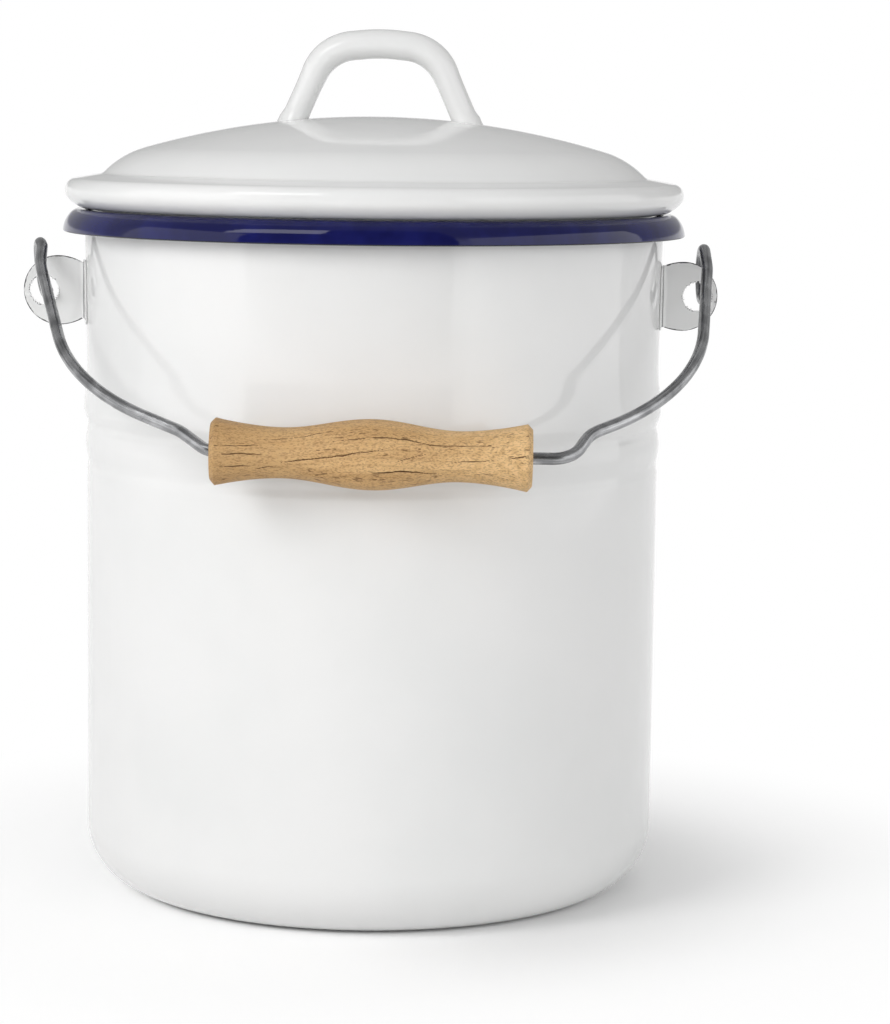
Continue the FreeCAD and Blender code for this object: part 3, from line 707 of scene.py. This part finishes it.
def grip_section():
    """Up the grip's own axis from one end of the bore to the other, with each edge eased."""
    inner = grip_half - grip_chamfer
    outside = [(grip_radius_at(along), along) for along in
               (-inner + 2 * inner * index / grip_rings for index in range(grip_rings + 1))]
    edge = grip_end - grip_chamfer
    bottom = [(grip_bore, -grip_half + bore_ease), (grip_bore + bore_ease, -grip_half),
              (edge * 0.6, -grip_half), (edge - 0.2, -grip_half), (edge + 0.1, -grip_half + 0.15),
              (grip_end - 0.25, -inner - 0.3)]
    top = [(across, -along) for across, along in reversed(bottom)]
    return bottom + outside + top


def grip_checks():
    """All the checks as (half width, depth, [(along, angle)]): those seen in front, and like ones behind."""
    rng = random.Random(7)
    checks = []
    for width, depth, line in front_checks:
        angles = [math.asin(held(rise / grip_radius_at(along), -0.98, 0.98)) for along, rise in line]
        checks.append((width, depth, [(along, angle) for (along, rise), angle in zip(line, angles)]))
    for _ in range(hidden_checks):
        start = rng.uniform(-48.0, 34.0)
        angle = rng.uniform(1.35, math.tau - 1.35)
        slant = rng.uniform(-0.006, 0.006)
        length = rng.uniform(5.0, 22.0)
        bow = rng.uniform(-0.03, 0.03)
        line = [(start + length * share, angle + slant * length * share + bow * math.sin(math.pi * share))
                for share in (0.0, 0.35, 0.7, 1.0)]
        checks.append((rng.uniform(0.2, 0.36), rng.uniform(0.2, 0.5), line))
    return checks


def check_depth(along, angle, checks):
    """How open the wood is at a place, one in the middle of a check and nothing beside it, and how deep."""
    deepest, carved = 0.0, 0.0
    radius = grip_radius_at(along)
    for width, depth, line in checks:
        if not line[0][0] - 1 < along < line[-1][0] + 1:
            continue
        for (x1, a1), (x2, a2) in zip(line, line[1:]):
            if not x1 - 0.3 <= along <= x2 + 0.3:
                continue
            share = held((along - x1) / (x2 - x1))
            wander = 0.28 * noise.noise((along * 0.32, a1 * 9.0, width * 40.0))
            across = (angle - a1 - (a2 - a1) * share + math.pi) % math.tau - math.pi
            gap = abs(across * radius + wander)
            whole = (along - line[0][0]) / (line[-1][0] - line[0][0])
            taper = max(0.0, math.sin(math.pi * held(whole))) ** 0.45
            uneven = 0.8 + 0.55 * noise.noise((along * 0.21, width * 90.0, a1 * 3.0))
            reach = check_share * width * taper * held(uneven, 0.35, 1.15) * check_spread
            if gap < reach:
                open_share = 1 - (gap / reach) ** 2
                deepest = max(deepest, open_share)
                carved = max(carved, depth * open_share * taper)
    return deepest, carved


def beech_finish():
    material, tree, shader, place = new_finish("bare_beech")
    centre = tuple(-number * MM for number in grip_centre)
    own = put(tree, "ShaderNodeMapping", {"Vector": place, "Location": centre}).outputs["Vector"]

    def along_grain(share):
        return put(tree, "ShaderNodeMapping", {"Vector": own, "Scale": (share, 1.0, 1.0)}).outputs["Vector"]

    bent = put(tree, "ShaderNodeTexNoise", {"Vector": own, "Scale": 38.0, "Detail": 2.0}).outputs["Color"]
    sway = put(tree, "ShaderNodeVectorMath", {0: bent, 1: (0.0, 0.0045, 0.0045)}, operation="MULTIPLY")
    swayed = put(tree, "ShaderNodeVectorMath", {0: own, 1: sway.outputs["Vector"]}, operation="ADD")
    part = put(tree, "ShaderNodeSeparateXYZ", {"Vector": swayed.outputs["Vector"]}).outputs
    layer = math_node(tree, "MULTIPLY_ADD", part["Y"], 0.55, part["Z"])
    rings = math_node(tree, "FRACT", math_node(tree, "MULTIPLY", layer, 420.0))
    fibre = along_grain(0.055)
    fine = clouds(tree, fibre, 900.0, 4.0)
    streak = clouds(tree, fibre, 190.0, 3.0)
    pores = clouds(tree, along_grain(0.22), 1500.0, 2.0)
    specks = clouds(tree, along_grain(0.45), 2300.0, 2.0)
    fleck = clouds(tree, own, 420.0, 4.0)
    lengthwise = put(tree, "ShaderNodeSeparateXYZ", {"Vector": own}).outputs["X"]
    clustered = math_node(tree, "MULTIPLY", band(tree, pores, 0.58, 0.7), band(tree, streak, 0.4, 0.58))
    opened = put(tree, "ShaderNodeAttribute", attribute_name="check").outputs["Fac"]
    layers = ((band(tree, streak, 0.32, 0.68), warm_beech),
              (band(tree, rings, 0.62, 0.97, 0.0, 0.34), late_wood),
              (band(tree, lengthwise, -0.055, 0.01, 0.5, 0.0), late_wood),
              (band(tree, lengthwise, 0.0, 0.055, 0.0, 0.6), sap_beech),
              (band(tree, fleck, 0.42, 0.64, 0.0, 0.5), warm_beech),
              (band(tree, specks, 0.46, 0.66, 0.0, 0.42), open_pore),
              (math_node(tree, "MULTIPLY", clustered, 0.8), open_pore),
              (band(tree, opened, 0.18, 0.62), check_wood))
    body = pale_beech
    for share, colour in layers:
        body = blend_colour(tree, share, body, colour)
    tree.links.new(body, shader.inputs["Base Color"])
    tree.links.new(band(tree, fine, 0.3, 0.7, 0.5, 0.68), shader.inputs["Roughness"])
    rough = math_node(tree, "MULTIPLY_ADD", clustered, -0.8, math_node(tree, "ADD", fine, specks))
    relief = put(tree, "ShaderNodeBump", {"Height": rough, "Distance": 0.0002, "Strength": 0.8})
    tree.links.new(relief.outputs["Normal"], shader.inputs["Normal"])
    shader.inputs["Specular IOR Level"].default_value = 0.3
    return material


def make_grip():
    piece = turned("turned_grip", grip_section(), grip_steps, beech_finish(), closed=True)
    checks = grip_checks()
    opened = []
    for vertex in piece.data.vertices:
        along = vertex.co.z / MM
        radius = math.hypot(vertex.co.x, vertex.co.y) / MM
        angle = math.atan2(vertex.co.y, vertex.co.x)
        share = 0.0
        if radius > grip_bore + 1.0:
            share, carved = check_depth(along, angle % math.tau, checks)
            uneven = noise.noise((along * 0.05, 3 * math.cos(angle), 3 * math.sin(angle))) - 1
            vertex.co.xy *= (radius + turning_error * uneven - carved) / radius
        opened.append(share)
    check = piece.data.attributes.new("check", "FLOAT", "POINT")
    check.data.foreach_set("value", opened)
    # Turned upright, the grip is laid along the wire with its front to the front.
    to_wire = Matrix(((0, 0, 1), (-1, 0, 0), (0, 1, 0))).to_4x4()
    skew = Vector((1.0, 0.0, 0.0)).rotation_difference(Vector(grip_axis)).to_matrix().to_4x4()
    place = Matrix.Translation(Vector(grip_centre) * MM)
    piece.data.transform(place @ skew @ to_wire)
    return piece


grip = make_grip()
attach(grip, "grip")
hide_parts("wooden_grip")


# Lid: a pressed steel dome with a cove and a brim that rolls under, enamelled white all over. It lies
# loose on the rim, and a collar welded under the brim keeps it from sliding off.

lid_seat = rim_height + 0.3
lid_apex = lid_seat + 32.7
lid_radius = 108.86
dome_radius = 290.0
dome_edge = 80.5
shoulder_radius = 33.7
cove_radius = 3.0
cove_slope = 45.0
brim_slope = 10.0
brim_roll = 4.2
brim_height = lid_seat + 6.25
edge_turn = 36.0
under_roll = 10.0
under_turn = 75.0
collar_outside = mouth_radius - 1.2
collar_bottom = rim_height - 9.0
collar_top = lid_seat + 10.4
collar_gauge = 1.0
# The collar's lip, drawn in towards its lower edge: how far in, and how far up.
collar_lip = ((1.3, 0.0), (1.0, 0.3), (0.12, 2.8), (0.0, 3.3))
roll_in = math.radians(edge_turn)
under_centre = (lid_radius - brim_roll - (under_roll - brim_roll) * math.cos(roll_in),
                brim_height + (under_roll - brim_roll) * math.sin(roll_in))


def lid_line(depth):
    """The lid's section from the top of the dome to the edge of its roll, at a depth in the sheet."""
    slope = math.degrees(math.asin(dome_edge / dome_radius))
    middle = lid_apex - dome_radius
    inner = dome_radius - shoulder_radius
    shoulder = (inner * math.sin(math.radians(slope)), middle + inner * math.cos(math.radians(slope)))
    joined = shoulder_radius + cove_radius
    lean = math.radians(cove_slope)
    cove = (shoulder[0] + joined * math.sin(lean), shoulder[1] + joined * math.cos(lean))
    line = arc(0.0, middle, dome_radius - depth, 90, 90 - slope, 40)
    line += arc(*shoulder, shoulder_radius - depth, 90 - slope, 90 - cove_slope, 16)[1:]
    line += arc(*cove, cove_radius + depth, 270 - cove_slope, 270 - brim_slope, 8)[1:]
    line += arc(lid_radius - brim_roll, brim_height, brim_roll - depth, 90 - brim_slope, -edge_turn, 20)
    line += arc(*under_centre, under_roll - depth, -edge_turn, -under_turn, 10)[1:]
    line[0] = (0.0, lid_apex - depth)
    return line


def lid_section():
    outer, inner = lid_line(0.0), lid_line(sheet)
    rounded = arc(*under_centre, under_roll - sheet / 2, -under_turn, -under_turn, 1)[0]
    edge = arc(*rounded, sheet / 2, 180 - under_turn, 360 - under_turn, 8)[1:-1]
    return inner + edge + outer[::-1]


def lid_enamel():
    material, tree, shader, place = new_finish("lid_enamel")
    colour = white_coat(tree, shader, place, 30.0, 120.0, 0.00009)
    tree.links.new(colour, shader.inputs["Base Color"])
    return material


def collar_section():
    outer = [(collar_outside - draw, collar_bottom + up) for draw, up in collar_lip]
    outer += [(collar_outside, collar_top)]
    inner = [(across - collar_gauge, up) for across, up in reversed(outer[1:])]
    lowest = (collar_outside - collar_gauge - 0.7, collar_bottom)
    return inner[-1:] + [lowest] + outer + inner[:-1]


lid_finish = lid_enamel()
lid = turned("enamelled_lid", lid_section(), pail_steps, lid_finish)
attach(lid, "lid")
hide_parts("lid_shell")
collar = turned("lid_locating_collar", collar_section(), pail_steps, lid_finish, closed=True)
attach(collar, "lid")
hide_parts("lid_collar")


# Lid handle: an oval steel tube bent into a loop and welded to the top of the dome. The enamel runs
# into the corner at its feet and leaves a soft fillet there.

handle_middle = 1.5
handle_spacing = 64.4
foot_height_inside = lid_apex - 5.9
handle_top_width = 38.2
handle_thickness = 10.3
handle_width = 15.0
handle_crown = lid_apex + 25.53
handle_drop = 2.0
handle_knee = 16.0
handle_crown_bend = 60.0
handle_sides = 48
leg_share = 0.88
leg_height, crown_fade = 9.0, 14.0
fillet_share = 0.13
fillet_height = 3.2


def handle_route():
    """The handle's middle line from one foot to the other, and how thick it is there."""
    foot, knee = handle_spacing / 2, handle_top_width / 2
    centre = Vector((0.0, lid_apex - dome_radius))
    corners = [Vector((handle_middle + foot, foot_height_inside)),
               Vector((handle_middle + knee, handle_crown - handle_drop)),
               Vector((handle_middle, handle_crown)),
               Vector((handle_middle - knee, handle_crown - handle_drop)),
               Vector((handle_middle - foot, foot_height_inside))]
    line = bent_line(corners, (handle_knee, handle_crown_bend, handle_knee), 0.5)
    swell = []
    for place in line:
        above = max(0.0, (place - centre).length - dome_radius)
        fillet = fillet_share * max(0.0, 1 - above / fillet_height) ** 2.2
        crown = eased((place.y - lid_apex - leg_height) / crown_fade)
        swell.append(leg_share + (1 - leg_share) * crown + fillet)
    return [(place.x * MM, 0.0, place.y * MM) for place in line], swell


def seat_on_dome(piece):
    """Press what reaches below the dome's skin flat into the middle of its sheet."""
    centre = Vector((0.0, 0.0, (lid_apex - dome_radius) * MM))
    skin = (dome_radius - sheet / 2) * MM
    for vertex in piece.data.vertices:
        away = vertex.co - centre
        if away.length < skin:
            vertex.co = centre + away.normalized() * skin


handle_line, handle_swell = handle_route()
handle = shaped("lid_loop_handle", handle_line, rod,
                {"Thickness": handle_width * MM, "Width": handle_thickness * MM, "Sides": handle_sides,
                 "Finish": lid_finish}, swell=handle_swell)
seat_on_dome(handle)
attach(handle, "lid")
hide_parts("lid_handle")


# Studio: a pale floor that runs out to white, open shade all round, a softbox high on the left with
# weaker ones behind, in front and on the right, and cards and a dark cloth that only gloss mirrors.

floor_reach, floor_level = 9.0, -0.0002
floor_white = (0.87, 0.87, 0.87, 1.0)
# The floor's own lift is held off right beside the base, as painted shade at the contact, is weaker to the
# right of the base, as a painted shadow, and fades to white.
floor_lift = 0.30
painted_contact_shade_band = (0.0828, 0.0872)
painted_shadow_share, painted_shadow_reach, painted_shadow_side = 0.65, (0.0865, 0.19), (-0.02, 0.07)
white_start = (0.11, 0.26)
side_light = 1.25
top_light = 0.33
back_light = 0.45
light_target = (0.0, 0.0, 0.15)
camera_place = (0.0, -1.13312, 0.27577)
camera_pitch, camera_yaw, camera_roll = 0.12599, 0.02301, 0.01187
sensor_height, focal_length = 36.0, 112.26


def studio_panel(name, finish, corners):
    """A flat panel with an empty material, as its object and the material's tree."""
    mesh = bpy.data.meshes.new(name)
    mesh.from_pydata(corners, [], [(0, 1, 2, 3)])
    material = bpy.data.materials.new(finish)
    material.use_nodes = True
    material.node_tree.nodes.clear()
    mesh.materials.append(material)
    return new_object(name, mesh), material.node_tree


def pale_floor():
    ends = ((-1, -1), (1, -1), (1, 1), (-1, 1))
    corners = [(side * floor_reach, end * floor_reach, floor_level) for side, end in ends]
    floor, tree = studio_panel("studio_floor", "floor_paper", corners)
    paper = put(tree, "ShaderNodeBsdfDiffuse", {"Color": floor_white})
    ray = put(tree, "ShaderNodeLightPath")
    seen = math_node(tree, "MAXIMUM", ray.outputs["Is Camera Ray"], ray.outputs["Is Glossy Ray"])
    seen = math_node(tree, "MAXIMUM", seen, ray.outputs["Is Transmission Ray"])
    place = put(tree, "ShaderNodeTexCoord").outputs["Object"]
    away = put(tree, "ShaderNodeVectorMath", {0: place}, operation="LENGTH").outputs["Value"]
    # Painted shade: the lift is held off beside the base and weakened to the right of it, so the floor
    # darkens there by its place as well as by the lamps.
    clear = band(tree, away, *painted_contact_shade_band, 0.0, floor_lift)
    across = put(tree, "ShaderNodeSeparateXYZ", {"Vector": place}).outputs["X"]
    near = band(tree, away, *painted_shadow_reach, painted_shadow_share, 0.0)
    painted_shadow = math_node(tree, "MULTIPLY", near, band(tree, across, *painted_shadow_side))
    clear = math_node(tree, "MULTIPLY", clear, math_node(tree, "SUBTRACT", 1.0, painted_shadow))
    lift = put(tree, "ShaderNodeEmission", {"Strength": math_node(tree, "MULTIPLY", seen, clear)})
    lifted = put(tree, "ShaderNodeAddShader", {0: paper.outputs[0], 1: lift.outputs[0]})
    far = math_node(tree, "MULTIPLY", band(tree, away, *white_start), seen)
    white = put(tree, "ShaderNodeEmission", {"Strength": 1.0})
    mixed = put(tree, "ShaderNodeMixShader", {0: far, 1: lifted.outputs[0], 2: white.outputs[0]})
    put(tree, "ShaderNodeOutputMaterial", {"Surface": mixed.outputs[0]})


def studio_world():
    """Open shade, brighter from the sides than from above or behind, with a white horizon."""
    world = bpy.data.worlds.new("studio_world")
    bpy.context.scene.world = world
    world.use_nodes = True
    tree = world.node_tree
    direction = put(tree, "ShaderNodeTexCoord").outputs["Generated"]
    way = put(tree, "ShaderNodeSeparateXYZ", {"Vector": direction}).outputs
    sky = band(tree, way["Z"], 0.2, 0.65, side_light, top_light)
    behind = band(tree, way["Y"], -0.05, 0.4)
    fall = math_node(tree, "MULTIPLY", math_node(tree, "SUBTRACT", sky, back_light), behind)
    sky = math_node(tree, "SUBTRACT", sky, fall)
    horizon = band(tree, way["Z"], 0.04, 0.09, 1.0, 0.0)
    white = math_node(tree, "MULTIPLY", math_node(tree, "SUBTRACT", 1.0, sky), horizon)
    tree.links.new(math_node(tree, "ADD", sky, white), tree.nodes["Background"].inputs["Strength"])
    tree.nodes["Background"].inputs["Color"].default_value = (1.0, 1.0, 1.0, 1.0)


def softbox(name, place, width, height, power):
    """A soft lamp turned to the pail, seen neither directly nor in reflections."""
    lamp = bpy.data.lights.new(name, "AREA")
    lamp.shape = "RECTANGLE"
    lamp.size, lamp.size_y, lamp.energy = width, height, power
    box = new_object(name, lamp)
    box.location = place
    box.rotation_euler = (Vector(light_target) - Vector(place)).to_track_quat("-Z", "Y").to_euler()
    box.visible_camera = box.visible_glossy = False


def mirrored_card(name, start, end, low, high, glow):
    """An upright card between two places on the floor that shows in reflections alone."""
    corners = [(*start, low), (*end, low), (*end, high), (*start, high)]
    card, tree = studio_panel(name, name, corners)
    light = put(tree, "ShaderNodeEmission", {"Strength": glow})
    put(tree, "ShaderNodeOutputMaterial", {"Surface": light.outputs[0]})
    card.visible_camera = card.visible_diffuse = card.visible_shadow = False


def photo_camera():
    """The photograph's view: a long lens a little above the rim, held almost level."""
    level = math.cos(camera_pitch)
    ahead = Vector((math.sin(camera_yaw) * level, math.cos(camera_yaw) * level, -math.sin(camera_pitch)))
    right = Vector((math.cos(camera_yaw), -math.sin(camera_yaw), 0.0))
    up = right.cross(ahead)
    across = right * math.cos(camera_roll) + up * math.sin(camera_roll)
    upward = up * math.cos(camera_roll) - right * math.sin(camera_roll)
    data = bpy.data.cameras.new("photo_camera")
    data.sensor_fit = "VERTICAL"
    data.sensor_height = sensor_height
    data.lens = focal_length
    camera = new_object("photo_camera", data)
    turn = Matrix((across, upward, -ahead)).transposed().to_4x4()
    camera.matrix_world = Matrix.Translation(camera_place) @ turn
    bpy.context.scene.camera = camera


pale_floor()
studio_world()
softbox("key_softbox", (-0.86, -0.82, 0.82), 0.6, 0.6, 6.3)
softbox("high_softbox", (0.3, 0.5, 1.35), 0.7, 0.7, 1.8)
softbox("front_fill", (0.15, -2.1, 0.5), 1.8, 0.6, 3.6)
softbox("right_fill", (1.3, -0.9, 0.6), 0.8, 0.8, 0.9)
mirrored_card("left_strip", (-1.136, 0.18), (-0.868, -0.754), 0.03, 0.9, 1.3)
mirrored_card("right_strip", (0.615, -0.912), (1.03, 0.376), 0.03, 0.75, 1.65)
mirrored_card("high_strip", (-0.95, -0.55), (-0.3, -0.8), 0.9, 1.4, 4.0)
mirrored_card("front_cloth", (-2.0, -1.7), (0.98, -1.7), 0.0, 3.0, 0.06)
photo_camera()
bpy.context.scene.view_settings.view_transform = "Standard"
